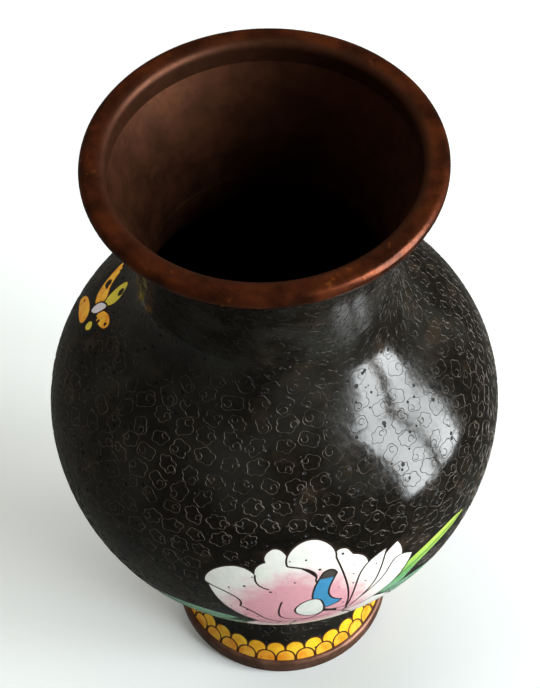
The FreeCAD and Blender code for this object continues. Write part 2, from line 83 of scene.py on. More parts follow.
HAIR = 0.01 * MM
foot_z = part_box("foot_ground_enamel")[0].z
waist_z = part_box("body_ground_enamel")[0].z
neck_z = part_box("body_ground_enamel")[1].z
rim_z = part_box("neck_ground_enamel")[1].z
belly_z = (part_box("belly_braze_seam")[0].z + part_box("belly_braze_seam")[1].z) / 2
foot_radius = widest("foot_ground_enamel", foot_z - HAIR, waist_z)
waist_radius = widest("foot_ground_enamel", waist_z - HAIR, waist_z + HAIR)
body_radius = widest("body_ground_enamel", waist_z, neck_z)
neck_radius = widest("neck_ground_enamel", neck_z - HAIR, neck_z + HAIR)
mouth_radius = widest("neck_ground_enamel", rim_z - HAIR, rim_z + HAIR)
print("radii, foot to mouth, mm:", [round(value / MM, 2) for value in
                                    (foot_radius, waist_radius, body_radius, neck_radius, mouth_radius)])

# %% Six arcs from foot to mouth
WAIST_CURVE = 12 * MM
NECK_CURVE = 20 * MM
ARC_STEPS = 160


def bulge(widest_radius, narrowest_radius, height, hollow):
    """Radius of a round arc that leaves the widest place upright and meets a hollow arc smoothly."""
    across = widest_radius - narrowest_radius - hollow
    return (across ** 2 + height ** 2 - hollow ** 2) / (2 * (widest_radius - narrowest_radius))


def flare(outward, height):
    """Radius of a hollow arc that starts upright and moves outward over a height."""
    return (outward ** 2 + height ** 2) / (2 * outward)


def arc_points(centre, radius, start, end, hollow):
    """Points of one arc and the wall's outward normal at each, as rows of r, z, nr and nz."""
    turn = np.linspace(start, end, ARC_STEPS)
    out = -1 if hollow else 1
    return np.column_stack([centre[0] + radius * np.cos(turn), centre[1] + radius * np.sin(turn),
                            out * np.cos(turn), out * np.sin(turn)])


foot_round = flare(foot_radius - waist_radius, waist_z - foot_z)
belly_round = bulge(body_radius, waist_radius, belly_z - waist_z, WAIST_CURVE)
shoulder_round = bulge(body_radius, neck_radius, neck_z - belly_z, NECK_CURVE)
mouth_round = flare(mouth_radius - neck_radius, rim_z - neck_z)
waist_turn = math.atan2(belly_z - waist_z, body_radius - belly_round - waist_radius - WAIST_CURVE)
neck_turn = math.atan2(neck_z - belly_z, neck_radius + NECK_CURVE - body_radius + shoulder_round)
wall = np.vstack([
    arc_points((waist_radius + foot_round, waist_z), foot_round,
               math.pi + math.asin((waist_z - foot_z) / foot_round), math.pi, True),
    arc_points((waist_radius + WAIST_CURVE, waist_z), WAIST_CURVE, math.pi, waist_turn, True),
    arc_points((body_radius - belly_round, belly_z), belly_round, waist_turn - math.pi, 0, False),
    arc_points((body_radius - shoulder_round, belly_z), shoulder_round, 0, neck_turn, False),
    arc_points((neck_radius + NECK_CURVE, neck_z), NECK_CURVE, neck_turn + math.pi, math.pi, True),
    arc_points((neck_radius + mouth_round, neck_z), mouth_round,
               math.pi, math.pi - math.asin((rim_z - neck_z) / mouth_round), True)])
steps = np.hypot(np.diff(wall[:, 0]), np.diff(wall[:, 1]))
along = np.concatenate([[0.0], np.cumsum(steps)])
print("length of the outline, mm:", round(along[-1] / MM, 1))

# %% A point on the wall
def on_wall(distance, azimuth, height):
    """Points a height above the enamel, at a distance along the outline and an azimuth from the front."""
    r, z, nr, nz = (np.interp(distance, along, wall[:, column]) for column in range(4))
    reach = r + height * nr
    return np.stack([reach * np.sin(azimuth), -reach * np.cos(azimuth), z + height * nz], axis=-1)


def radius_at(distance):
    """Radius of the vase at a distance along the outline."""
    return np.interp(distance, along, wall[:, 0])


print("check at the belly, mm:", on_wall(np.interp(belly_z, wall[:, 1], along), 0.0, 0.0) / MM)

# %% [markdown]
# ## Camera
#
# The vase is seen from above, at a little over fifty degrees, so the mouth shows as a wide ellipse and
# the foot peeps out under the belly. A long lens would flatten that. The camera here stands some
# thirty-six centimetres away, which keeps the strong narrowing from mouth to foot.

# %% Camera
VIEW_DOWN = math.radians(53.293)
VIEW_ROLL = math.radians(-2.583)
VIEW_DISTANCE = 356.04 * MM
VIEW_ASIDE = -0.871 * MM
VIEW_RAISED = 10.439 * MM
LENS = 88.95

forward = Vector((0, math.cos(VIEW_DOWN), -math.sin(VIEW_DOWN)))
level_right = Vector((1, 0, 0))
level_up = Vector((0, math.sin(VIEW_DOWN), math.cos(VIEW_DOWN)))
right = math.cos(VIEW_ROLL) * level_right + math.sin(VIEW_ROLL) * level_up
up = math.cos(VIEW_ROLL) * level_up - math.sin(VIEW_ROLL) * level_right
place = Vector((0, 0, belly_z)) - forward * VIEW_DISTANCE + right * VIEW_ASIDE + up * VIEW_RAISED

camera_data = bpy.data.cameras.new("camera")
camera_data.lens = LENS
camera_data.clip_start = 10 * MM
camera = bpy.data.objects.new("camera", camera_data)
bpy.context.scene.collection.objects.link(camera)
turn = Matrix((right, up, -forward)).transposed().to_4x4()
camera.matrix_world = Matrix.Translation(place) @ turn
bpy.context.scene.camera = camera
print("camera stands at, mm:", [round(value / MM) for value in place])

# %% [markdown]
# ## Shader arithmetic
#
# A finish is a small calculation that runs at every point of the surface: how far is this point from
# the middle of the blossom, is there a pit here, how dull is the glaze. It could be wired by hand in
# the node editor. Written as a class that wraps one socket, the same calculation reads like a sum.

# %% One socket as a number to calculate with
class Signal:
    """A socket of a material's node tree. Sums with it add Math nodes to the tree."""

    def __init__(self, tree, socket=None):
        self.tree = tree
        self.socket = socket

    def node(self, kind, settings=None, inputs=None, output=0):
        """Add a node: its settings first, then the values or signals of its sockets."""
        made = self.tree.nodes.new(kind)
        for name, value in (settings or {}).items():
            if name == "stops":
                self.set_stops(made.color_ramp, value)
            else:
                setattr(made, name, value)
        for name, value in (inputs or {}).items():
            if isinstance(value, Signal):
                self.tree.links.new(value.socket, made.inputs[name])
            else:
                made.inputs[name].default_value = value
        return Signal(self.tree, made.outputs[output] if len(made.outputs) else None)

    @staticmethod
    def set_stops(ramp, stops):
        """Give a colour ramp its stops, each a place from 0 to 1 and a colour."""
        while len(ramp.elements) < len(stops):
            ramp.elements.new(1.0)
        for element, (position, colour) in zip(ramp.elements, stops):
            element.position = position
            element.color = colour

    def math(self, operation, *values):
        """One Math node on this signal and others, or on plain numbers."""
        return self.node("ShaderNodeMath", {"operation": operation}, dict(enumerate(values)))

    def __add__(self, other):
        return self.math("ADD", self, other)

    __radd__ = __add__

    def __mul__(self, other):
        return self.math("MULTIPLY", self, other)

    __rmul__ = __mul__

    def __sub__(self, other):
        return self.math("SUBTRACT", self, other)

    def __rsub__(self, other):
        return self.math("SUBTRACT", other, self)

    def __truediv__(self, other):
        return self.math("DIVIDE", self, other)

    def __pow__(self, other):
        return self.math("POWER", self, other)

    def step(self, low, high):
        """0 below low, 1 above high, and a smooth rise between. It falls if low is above high."""
        return self.node("ShaderNodeMapRange", {"interpolation_type": "SMOOTHSTEP"},
                         {"Value": self, "From Min": low, "From Max": high})

    def blend(self, first, second):
        """The first colour where this signal is 0, and the second where it is 1."""
        return self.node("ShaderNodeMix", {"data_type": "RGBA"}, {0: self, 6: first, 7: second}, 2)


# %% Colours and patterns every finish shares
def paint(red, green, blue):
    """A colour given as 0 to 255, turned to the even steps of light that shaders use."""
    def even(value):
        value = value / 255
        return value / 12.92 if value <= 0.04045 else ((value + 0.055) / 1.055) ** 2.4
    return (even(red), even(green), even(blue), 1.0)


class Finish:
    """A material with its place on the vase and the patterns that the finishes have in common."""

    def __init__(self, name):
        self.material = bpy.data.materials.new(name)
        self.material.use_nodes = True
        self.tree = self.material.node_tree
        self.tree.nodes.clear()
        self.start = Signal(self.tree)
        self.spot = self.start.node("ShaderNodeTexCoord", output="Object")
        self.x, self.y, self.z = (self.start.node("ShaderNodeSeparateXYZ", None, {0: self.spot}, axis)
                                  for axis in range(3))

    def noise(self, size, detail=3.0, roughness=0.6, distortion=0.0):
        """Soft random pattern from 0 to 1, whose patches are about this many metres across."""
        return self.start.node("ShaderNodeTexNoise", None, {
            "Vector": self.spot, "Scale": 1 / size, "Detail": detail,
            "Roughness": roughness, "Distortion": distortion})

    def grains(self, spacing, output="Distance"):
        """Distance to the nearest of many scattered seeds, in spacings, or that seed's own colour."""
        where = {"Vector": self.spot, "Scale": 1 / spacing}
        return self.start.node("ShaderNodeTexVoronoi", None, where, output)

    def pits(self, spacing, size):
        """1 inside small round pits of mixed sizes, and 0 elsewhere."""
        chance = self.start.node("ShaderNodeSeparateColor", None, {0: self.grains(spacing, "Color")})
        reach = chance * (size / spacing)
        return (self.grains(spacing) / reach).step(1.0, 0.7)

    def away_from(self, point):
        """Distance in metres from a point of the vase."""
        kind = "ShaderNodeVectorMath"
        offset = self.start.node(kind, {"operation": "SUBTRACT"}, {0: self.spot, 1: point})
        return self.start.node(kind, {"operation": "LENGTH"}, {0: offset}, "Value")

    def ramp(self, signal, stops):
        """Colour that runs through stops as the signal goes from 0 to 1."""
        return self.start.node("ShaderNodeValToRGB", {"stops": stops}, {0: signal})

    def bump(self, height, depth, under=None):
        """Normal of a surface whose signal stands this many metres high where it is 1."""
        inputs = {"Height": height, "Distance": depth, "Strength": 1.0}
        if under is not None:
            inputs["Normal"] = under
        return self.start.node("ShaderNodeBump", None, inputs)

    def surface(self, **inputs):
        """Finish the material with one principled shader. Underscores stand for spaces."""
        named = {name.replace("_", " "): value for name, value in inputs.items()}
        shader = self.start.node("ShaderNodeBsdfPrincipled", None, named)
        self.start.node("ShaderNodeOutputMaterial", None, {0: shader})
        return self.material


def dress(material, *names):
    """Give measured parts their finish."""
    for name in names:
        for slot in nodes[name].material_slots:
            slot.material = material
    print(material.name, "on", ", ".join(names))


# %% [markdown]
# ## Light and floor
#
# The vase stands on a white table by a window. In the black glaze the window shows as a bright field
# cut by one glazing bar, and a pale edge mirrors the nearest part of the table. Everything else that
# the glaze mirrors is dim. So the light comes from two tall panes to the right, with a gap between
# them for the bar, and a soft light overhead brightens the table but isn't mirrored. The wide table
# isn't mirrored either: a small card of the same white stands in for it, as in a studio.

# %% Colour of the picture as it is, with no film curve
bpy.context.scene.view_settings.view_transform = "Standard"

# %% Table
TABLE_HALF = 2.5
TABLE_DROP = 0.05 * MM
TABLE_PATCH = 120 * MM
TABLE_DULLNESS = 0.6
table_mesh = bmesh.new()
bmesh.ops.create_grid(table_mesh, x_segments=1, y_segments=1, size=TABLE_HALF)
bmesh.ops.translate(table_mesh, verts=table_mesh.verts, vec=(0, 0, -TABLE_DROP))
table_data = bpy.data.meshes.new("table")
table_mesh.to_mesh(table_data)
table_mesh.free()
table = bpy.data.objects.new("table", table_data)
bpy.context.scene.collection.objects.link(table)

white_table = Finish("white_table")
table_cloud = white_table.noise(TABLE_PATCH)
table_white = white_table.surface(
    Base_Color=table_cloud.blend(paint(232, 236, 234), paint(240, 244, 243)), Roughness=TABLE_DULLNESS)
table_data.materials.append(table_white)
table.visible_glossy = False

# %% The part of the table that the glaze mirrors
CARD_HALF = 135 * MM
CARD_CORNER = 0.45 * CARD_HALF
CARD_CORNER_STEPS = 8
CARD_BACK = 25 * MM
card_mesh = bmesh.new()
bmesh.ops.create_grid(card_mesh, x_segments=1, y_segments=1, size=CARD_HALF)
bmesh.ops.bevel(card_mesh, geom=card_mesh.verts[:], offset=CARD_CORNER, offset_type="OFFSET",
                affect="VERTICES", segments=CARD_CORNER_STEPS, profile=0.5, material=-1)
bmesh.ops.translate(card_mesh, verts=card_mesh.verts, vec=(0, CARD_BACK, -2 * TABLE_DROP))
card_data = bpy.data.meshes.new("mirrored_card")
card_mesh.to_mesh(card_data)
card_mesh.free()
card_data.materials.append(table_white)
card = bpy.data.objects.new("mirrored_card", card_data)
bpy.context.scene.collection.objects.link(card)
card.visible_camera = False
card.visible_diffuse = False
card.visible_shadow = False

# %% A soft lamp
def lamp(name, position, target, width, height, power, colour, mirrored):
    """A soft rectangular light that looks at a point. It may be hidden from the mirror of the glaze."""
    data = bpy.data.lights.new(name, "AREA")
    data.shape = "RECTANGLE"
    data.size = width
    data.size_y = height
    data.energy = power
    data.color = colour
    light = bpy.data.objects.new(name, data)
    bpy.context.scene.collection.objects.link(light)
    light.location = position
    light.rotation_euler = (Vector(target) - Vector(position)).to_track_quat("-Z", "Y").to_euler()
    light.visible_glossy = mirrored


# %% Window of two tall panes
# Each pane has a name and its two edges, in metres across the window from the middle.
WINDOW_AZIMUTH = math.radians(74)
WINDOW_ELEVATION = math.radians(16)
WINDOW_DISTANCE = 1.0
PANES = (("near", -0.36, -0.065), ("far", 0.025, 0.26))
PANE_HEIGHT = 1.15
WATTS_PER_AREA = 46.0
WINDOW_COLOUR = (0.94, 0.985, 1.0)

vase_middle = Vector((0, 0, belly_z))
toward_window = Vector((math.sin(WINDOW_AZIMUTH) * math.cos(WINDOW_ELEVATION),
                        -math.cos(WINDOW_AZIMUTH) * math.cos(WINDOW_ELEVATION),
                        math.sin(WINDOW_ELEVATION)))
window_across = Vector((math.cos(WINDOW_AZIMUTH), math.sin(WINDOW_AZIMUTH), 0))
for name, first, last in PANES:
    middle = vase_middle + toward_window * WINDOW_DISTANCE + window_across * (first + last) / 2
    width = last - first
    power = WATTS_PER_AREA * width * PANE_HEIGHT
    lamp("pane_" + name, middle, middle - toward_window, width, PANE_HEIGHT, power, WINDOW_COLOUR, True)
    print(name, "pane:", round(width, 3), "m wide,", round(power, 1), "W")

# %% Rest of the room
ROOM_COLOUR = (0.075, 0.073, 0.066, 1.0)
OVERHEAD_PLACE = (-0.2, 0.5, 1.4)
OVERHEAD_SIZE = 1.6
OVERHEAD_POWER = 20.5
OVERHEAD_COLOUR = (1.0, 0.985, 0.95)

room = bpy.data.worlds.new("room")
room.use_nodes = True
room.node_tree.nodes["Background"].inputs["Color"].default_value = ROOM_COLOUR
bpy.context.scene.world = room
lamp("overhead", OVERHEAD_PLACE, (0, 0, 0), OVERHEAD_SIZE, OVERHEAD_SIZE, OVERHEAD_POWER, OVERHEAD_COLOUR,
     False)

# %% [markdown]
# ## Black ground enamel
#
# The ground is near-black glass with a brown cast. Ground flush with stones, it is smooth but not
# perfect: bubbles cut open leave small black pits of mixed sizes, grinding leaves a dull haze in
# patches, and the colour is cloudy where the powder was uneven. The haze patches are also painted a
# paler grey, a painted sheen for the room mirrored in the glaze, which grows up the shoulder and is
# stronger on the neck. A plain black gloss would look like plastic. Pits come from scattered seeds
# with a random size each, and the haze from soft noise.

# %% Layers of colour
def layered(colour, layers):
    """Lay colours over a first one. A layer is a mask, which is 1 where it covers, and its colour."""
    for mask, layer in layers:
        colour = mask.blend(colour, layer)
    return colour


# %% Ground enamel
PIT_SPACING = 1.7 * MM
PIT_SIZE = 0.5 * MM
PIT_DEPTH = 0.12 * MM
SPECK_SPACING = 1.7 * MM
SPECK_SIZE = 0.17 * MM
WAVE_SIZE = 3.2 * MM
WAVE_HEIGHT = 0.05 * MM
GRAIN_SIZE = 0.35 * MM
GRAIN_HEIGHT = 0.004 * MM
POLISH = 0.1
# The haze is partly a real dull haze and partly a painted sheen, a paler grey that stands in for the room
# mirrored in the glaze. The shoulder's share is painted sheen only.
BODY_HAZE_AND_SHEEN = 0.5
NECK_HAZE_AND_SHEEN = 0.8
SHOULDER_SHEEN = 0.5


def black_enamel(name, haze_and_sheen_strength):
    """Near-black glass with brown clouds, a dull haze with a paler painted sheen that grows on the
    shoulder, specks and open pits.
    """
    finish = Finish(name)
    cloud = finish.noise(9 * MM, 4.0).step(0.35, 0.7)
    fine = finish.noise(0.9 * MM, 3.0, 0.7).step(0.35, 0.75)
    shoulder = finish.z.step(belly_z + 4 * MM, neck_z - 6 * MM)
    # Painted sheen: the haze patches are painted paler, and more so up the shoulder.
    haze_and_sheen = finish.noise(17 * MM, 3.0, 0.55).step(0.42, 0.68) * (haze_and_sheen_strength + shoulder * SHOULDER_SHEEN)
    brown = finish.noise(7 * MM, 5.0, 0.65).step(0.52, 0.74)
    specks = finish.pits(SPECK_SPACING, SPECK_SIZE)
    pits = finish.pits(PIT_SPACING, PIT_SIZE)
    colour = layered(paint(7, 6, 4), [
        (cloud, paint(20, 16, 11)),
        (fine * 0.5, paint(28, 23, 17)),
        # Painted sheen: a paler grey laid in the haze patches.
        (haze_and_sheen, paint(36, 35, 31)),
        (brown * 0.8, paint(48, 38, 28)),
        (specks * 0.6, paint(110, 100, 88)),
        (pits, paint(2, 2, 2))])
    dull = POLISH + haze_and_sheen * 0.12 + fine * 0.09 + pits * 0.5
    waves = finish.bump(finish.noise(WAVE_SIZE, 2.0), WAVE_HEIGHT)
    grain = finish.bump(finish.noise(GRAIN_SIZE, 2.0), GRAIN_HEIGHT, waves)
    return finish.surface(Base_Color=colour, Roughness=dull, Normal=finish.bump(1 - pits, PIT_DEPTH, grain))


dress(black_enamel("black_body_enamel", BODY_HAZE_AND_SHEEN), "body_ground_enamel", "foot_ground_enamel")
dress(black_enamel("black_neck_enamel", NECK_HAZE_AND_SHEEN), "neck_ground_enamel")

# %% [markdown]
# ## Coloured enamels
#
# Each cell of the picture holds one or two colours that were laid wet side by side and fired together,
# so they run into each other without an edge. The peony is white at the tips of its petals and pink
# towards its heart. One way is to paint the mesh, another to split it. Distance from the heart of the
# blossom, roughened with noise, gives the same soft run and needs neither.

# %% Glass of the picture
PICTURE_POLISH = 0.16
PICTURE_PIT_DEPTH = 0.1 * MM
PICTURE_WAVE_SIZE = 3.0 * MM
# The pits of the coloured enamels are coloured this dark brown.
PIT_DARK_COLOUR = paint(22, 18, 14)


def picture_enamel(finish, colour, polish=PICTURE_POLISH, pit_size=0.36 * MM, pit_spacing=2.4 * MM):
    """Finish a coloured enamel: uneven glass, a few open bubbles and a soft polish."""
    pits = finish.pits(pit_spacing, pit_size)
    uneven = finish.noise(1.4 * MM, 3.0, 0.65)
    shade = finish.start.node("ShaderNodeHueSaturation", None,
                              {"Value": 0.88 + uneven * 0.2, "Color": colour})
    dull = polish + uneven * 0.1 + pits * 0.4
    waves = finish.bump(finish.noise(PICTURE_WAVE_SIZE, 2.0), WAVE_HEIGHT)
    return finish.surface(Base_Color=pits.blend(shade, PIT_DARK_COLOUR), Roughness=dull,
                          Normal=finish.bump(1 - pits, PICTURE_PIT_DEPTH, waves))


def two_colours(name, node, patch, first, second, crisp=False, detail=3.0, **glass):
    """Enamel whose two colours run together in patches of a size. Crisp patches have firmer edges."""
    finish = Finish(name)
    patches = finish.noise(patch, detail)
    if crisp:
        patches = patches.step(0.35, 0.65)
    dress(picture_enamel(finish, patches.blend(first, second), **glass), node)


def wall_point(across, rise, azimuth):
    """Point of the body wall, given across and up from the belly in millimetres at an azimuth."""
    distance = np.interp(belly_z + rise * MM, wall[:, 1], along)
    return Vector(on_wall(distance, math.radians(azimuth) + across * MM / body_radius, 0.0))


# %% Peony
PEONY_AZIMUTH = 8.0
PINK = paint(222, 160, 170)
WHITE = paint(236, 236, 228)
PINK_REACH = 18 * MM
PINK_CORE = 9.5 * MM
heart = wall_point(-3.5, -9.5, PEONY_AZIMUTH)

petals = Finish("peony_petals")
ragged = petals.away_from(heart) + (petals.noise(4 * MM, 5.0, 0.65) - 0.5) * (11 * MM)
tint = petals.noise(4 * MM).step(0.5, 0.75) * 0.5
petal_colour = layered(WHITE, [(tint, paint(216, 222, 205)), (ragged.step(PINK_REACH, PINK_CORE), PINK)])
dress(picture_enamel(petals, petal_colour, pit_size=0.42 * MM), "peony_petal_enamel")

two_colours("peony_bud", "peony_bud_enamel", 2 * MM, WHITE, paint(205, 212, 205))

# %% Blue stamen with a dark cap
CAP_RISE = 2.3 * MM
CAP_EDGE = 0.6 * MM
stamen = Finish("blue_stamen")
blue = stamen.noise(2.5 * MM, 2.0).blend(paint(48, 128, 180), paint(72, 150, 188))
cap = stamen.z.step(belly_z + CAP_RISE, belly_z + CAP_RISE + CAP_EDGE)
dress(picture_enamel(stamen, cap.blend(blue, paint(70, 66, 62))), "peony_stamen_enamel")

# %% Leaves run from blue green at the stalk to yellow green at the tip
LEAF_RISE = 14 * MM
leaves = Finish("green_leaves")
climb = ((leaves.z - (belly_z - LEAF_RISE)) / LEAF_RISE) + (leaves.noise(3 * MM) - 0.5) * 0.3
green = leaves.ramp(climb, [(0.0, paint(132, 178, 146)), (0.35, paint(104, 168, 104)),
                            (0.7, paint(150, 190, 84)), (1.0, paint(188, 206, 84))])
dress(picture_enamel(leaves, green), "leaf_enamel")

# %% [markdown]
# ## Butterfly
#
# A butterfly sits on the left shoulder. Its wings are orange with yellow-green tips, dark spots lie on
# them, and the body between them is a pale lilac. The wings have larger pits, and closer together, than
# the other coloured enamels. Each colour is a part of its own in the CAD, so each takes one finish.

# %% Butterfly
two_colours("orange_wings", "butterfly_wing_enamel", 2.2 * MM, paint(226, 142, 38), paint(240, 184, 62),
            crisp=True, pit_size=0.6 * MM, pit_spacing=1.7 * MM)
two_colours("yellow_green_wing_tips", "butterfly_wing_tip_enamel", 2 * MM,
            paint(196, 186, 52), paint(222, 196, 70))
two_colours("lilac_body", "butterfly_body_enamel", 2 * MM, paint(205, 196, 204), paint(222, 214, 214))
two_colours("dark_spots", "butterfly_spot_enamel", 2 * MM, paint(30, 22, 16), paint(54, 38, 26))

# %% [markdown]
# ## Back and foot
#
# The smaller spray on the back is a guess: a blossom in white and pink, with leaves that turn yellow
# green towards their tips. Round the foot runs a border of two overlapping rows of scallops, yellow
# above and orange below.

# %% Small blossom on the back
BACK_AZIMUTH = 188.0
BACK_REACH = 24 * MM
back_heart = wall_point(0.0, 0.0, BACK_AZIMUTH)
back_petals = Finish("back_blossom")
back_ragged = back_petals.away_from(back_heart) + (back_petals.noise(3 * MM, 4.0) - 0.5) * (5 * MM)
back_pink = back_ragged.step(9 * MM, 3 * MM).blend(WHITE, PINK)
dress(picture_enamel(back_petals, back_pink), "back_blossom_enamel")

two_colours("back_blossom_centre", "back_blossom_centre_enamel", 2 * MM,
            paint(240, 196, 70), paint(228, 160, 40))

back_leaves = Finish("back_leaves")
back_away = back_leaves.away_from(back_heart) + (back_leaves.noise(3 * MM) - 0.5) * (6 * MM)
back_green = back_leaves.ramp(back_away / BACK_REACH, [
    (0.2, paint(116, 170, 138)), (0.55, paint(104, 168, 96)), (0.95, paint(178, 200, 82))])
dress(picture_enamel(back_leaves, back_green), "back_leaf_enamel")

# %% Scalloped border of the foot, and the glass under the base
two_colours("yellow_scallops", "foot_border_upper_enamel", 4 * MM,
            paint(238, 170, 24), paint(248, 200, 44), crisp=True)
two_colours("orange_scallops", "foot_border_lower_enamel", 4 * MM,
            paint(232, 142, 20), paint(246, 184, 56), crisp=True)
two_colours("blue_base_glass", "base_counter_enamel", 6 * MM,
            paint(40, 78, 98), paint(62, 104, 120), detail=4.0, polish=0.22)

# %% [markdown]
# ## Copper
#
# The rings at mouth and foot are the only bare metal outside. Handled for years, copper turns from
# pink to a red brown, goes nearly black where nobody touches it, and stays bright on the crests that
# hands and cloths rub. The inside of the neck was never polished: it keeps a dull brown oxide.

# %% Old copper
DENT_SIZE = 2.4 * MM
DENT_DEPTH = 0.05 * MM
SCRATCH_SIZE = 0.25 * MM
SCRATCH_DEPTH = 0.006 * MM


def old_copper(name, dark, light, rub, dullness, metal, inside=None):
    """Copper with darker patches and rubbed crests. Inside: colour, radius and fade of its inner side."""
    finish = Finish(name)
    patches = finish.noise(6 * MM, 5.0, 0.6).step(0.3, 0.7)
    streaks = finish.noise(1.1 * MM, 3.0, 0.6).step(0.4, 0.75)
    rubbed = finish.noise(4.2 * MM, 4.0, 0.65, 0.4).step(0.6, 0.74)
    colour = layered(dark, [(patches, light), (streaks * 0.35, dark), (rubbed * 0.7, rub)])
    dull = dullness + patches * 0.1 + streaks * 0.08
    if inside:
        inner_colour, radius, fade = inside
        inner = ((finish.x ** 2 + finish.y ** 2) ** 0.5).step(radius + fade, radius)
        colour = inner.blend(colour, inner_colour)
        dull = dull + inner * 0.2
    dents = finish.bump(finish.noise(DENT_SIZE, 3.0), DENT_DEPTH)
    normal = finish.bump(finish.noise(SCRATCH_SIZE, 2.0), SCRATCH_DEPTH, dents)
    return finish.surface(Base_Color=colour, Roughness=dull, Metallic=metal, Normal=normal)


# %% Rings at mouth and foot
INNER_FADE = 2.4 * MM
rim_points = points_of("mouth_rim_ring")
rim_inner = float(np.hypot(rim_points[:, 0], rim_points[:, 1]).min())
print("inner radius of the mouth ring, mm:", round(rim_inner / MM, 2))
rim_copper = old_copper("rubbed_rim_copper", paint(62, 29, 15), paint(116, 55, 25), paint(180, 100, 44),
                        0.24, 0.75, (paint(80, 46, 29), rim_inner, INNER_FADE))
dress(rim_copper, "mouth_rim_ring")
foot_copper = old_copper("foot_ring_copper", paint(98, 66, 52), paint(146, 106, 86), paint(166, 118, 92),
                         0.38, 0.7)
dress(foot_copper, "foot_rim_ring")

# %% Shells and the braze in their seams
inner_copper = old_copper("dull_inner_copper", paint(70, 40, 25), paint(88, 51, 32), paint(92, 55, 36),
                          0.5, 0.85)
dress(inner_copper, "neck_shell", "upper_body_shell", "lower_body_shell", "foot_shell", "base_plate")
braze = old_copper("braze_metal", paint(66, 44, 26), paint(96, 66, 40), paint(112, 80, 48), 0.5, 0.8)
dress(braze, "neck_braze_seam", "belly_braze_seam", "waist_braze_seam")

# %% [markdown]
# ## Picture wires
#
# The wires show as dark brown lines about half a millimetre wide. They are copper, ground flush and
# then browned, so they catch a little light where the glass beside them doesn't.

# %% Browned wires
def browned_wire(name, dark, light):
    """Brown oxide on copper wire, uneven in colour and polish."""
    finish = Finish(name)
    shade = finish.noise(1.5 * MM, 3.0)
    return finish.surface(Base_Color=shade.blend(dark, light), Roughness=0.36 + shade * 0.2, Metallic=0.5)


dress(browned_wire("browned_wire", paint(40, 28, 24), paint(74, 54, 46)),
      "peony_wires", "leaf_wires", "butterfly_wires", "back_spray_wires")
dress(browned_wire("border_wire", paint(64, 38, 20), paint(112, 70, 30)), "foot_border_wires")

# %% [markdown]
# ## Cloud wires
#
# The black ground isn't empty. It is strewn with little clouds: each is one short wire bent by hand
# into a closed, lobed loop with a hook curling inward. They keep the glass from cracking, and no two
# are alike. Modelling each by itself would be endless, and a texture would have no body. Instead ten
# loops are shaped once, and copies with their own turn and size are laid on the wall one by one.

# %% A piece of ribbon wire
WIRE_HALF = 0.24 * MM
WIRE_PROUD = 0.045 * MM
WIRE_SUNK = 0.12 * MM


def spun_wire(cloud, centre, radius, first_angle, angle, steps):
    """Spin the wire's three-cornered section round a centre, into a ring or part of one."""
    closed = abs(angle) >= 2 * math.pi
    section = []
    for across, height in ((-WIRE_HALF, -WIRE_SUNK), (WIRE_HALF, -WIRE_SUNK), (0, WIRE_PROUD)):
        reach = radius + across
        section.append(cloud.verts.new((centre[0] + reach * math.cos(first_angle),
                                        centre[1] + reach * math.sin(first_angle), height)))
    edges = [cloud.edges.new((section[corner], section[corner - 2])) for corner in range(3)]
    before = set(cloud.verts) - set(section)
    bmesh.ops.spin(cloud, geom=section + edges, cent=(centre[0], centre[1], 0), axis=(0, 0, 1),
                   angle=angle, steps=steps, use_merge=closed)
    made = [vertex for vertex in cloud.verts if vertex not in before]
    if not closed:
        open_edges = [edge for vertex in made for edge in vertex.link_edges if edge.is_boundary]
        bmesh.ops.holes_fill(cloud, edges=list(set(open_edges)), sides=3)
    return made


# %% Shape of one cloud
LOOP_RADIUS = 1.9 * MM
LOOP_STEPS = 24
FLATTEN = 0.78
LOBE_COUNTS = (4, 5, 6)
LOBE_HEIGHTS = (0.24, 0.36)
LOBE_MEAN = 2 / math.pi
LEAN = 0.10
HOOK_SIZES = (0.30, 0.38)
HOOK_REACH = 0.86
HOOK_SWING = 0.5
HOOK_STEPS = 7
HOOK_TURN = math.radians(250)


def cloud_shape(dice):
    """Mesh of one cloud, flat round the origin: across is x, up is y and out of the wall is z."""
    cloud = bmesh.new()
    ring = spun_wire(cloud, (0, 0), LOOP_RADIUS, 0.0, 2 * math.pi, LOOP_STEPS)
    lobes = dice.choice(LOBE_COUNTS)
    lobe_height = dice.uniform(*LOBE_HEIGHTS)
    lobe_phase, lean_phase, oval_phase = (dice.uniform(0, 2 * math.pi) for number in range(3))
    for vertex in ring:
        angle = math.atan2(vertex.co.y, vertex.co.x)
        lobe = abs(math.sin(lobes * angle / 2 + lobe_phase)) - LOBE_MEAN
        lean = LEAN * math.cos(angle + lean_phase) + LEAN * math.cos(2 * angle + oval_phase)
        shift = LOOP_RADIUS * (lobe_height * lobe + lean)
        vertex.co.x += shift * math.cos(angle)
        vertex.co.y = (vertex.co.y + shift * math.sin(angle)) * FLATTEN
    side = dice.choice((0, math.pi)) + dice.uniform(-HOOK_SWING, HOOK_SWING)
    hook = LOOP_RADIUS * dice.uniform(*HOOK_SIZES)
    middle = LOOP_RADIUS * HOOK_REACH - hook
    hook_centre = (middle * math.cos(side), middle * math.sin(side) * FLATTEN)
    spun_wire(cloud, hook_centre, hook, side, HOOK_TURN, HOOK_STEPS)
    bmesh.ops.recalc_face_normals(cloud, faces=cloud.faces)
    mesh = bpy.data.meshes.new("cloud_shape")
    cloud.to_mesh(mesh)
    cloud.free()
    return mesh


CLOUD_KINDS = 10
SHAPE_SEED = 7
shape_dice = random.Random(SHAPE_SEED)
cloud_kinds = [cloud_shape(shape_dice) for kind in range(CLOUD_KINDS)]
print("faces of one cloud:", [len(mesh.polygons) for mesh in cloud_kinds])

# %% Where the ground is free
FREE_PROBES = 10
PROBE_START = 0.5 * MM
PROBE_LENGTH = 1.5 * PROBE_START


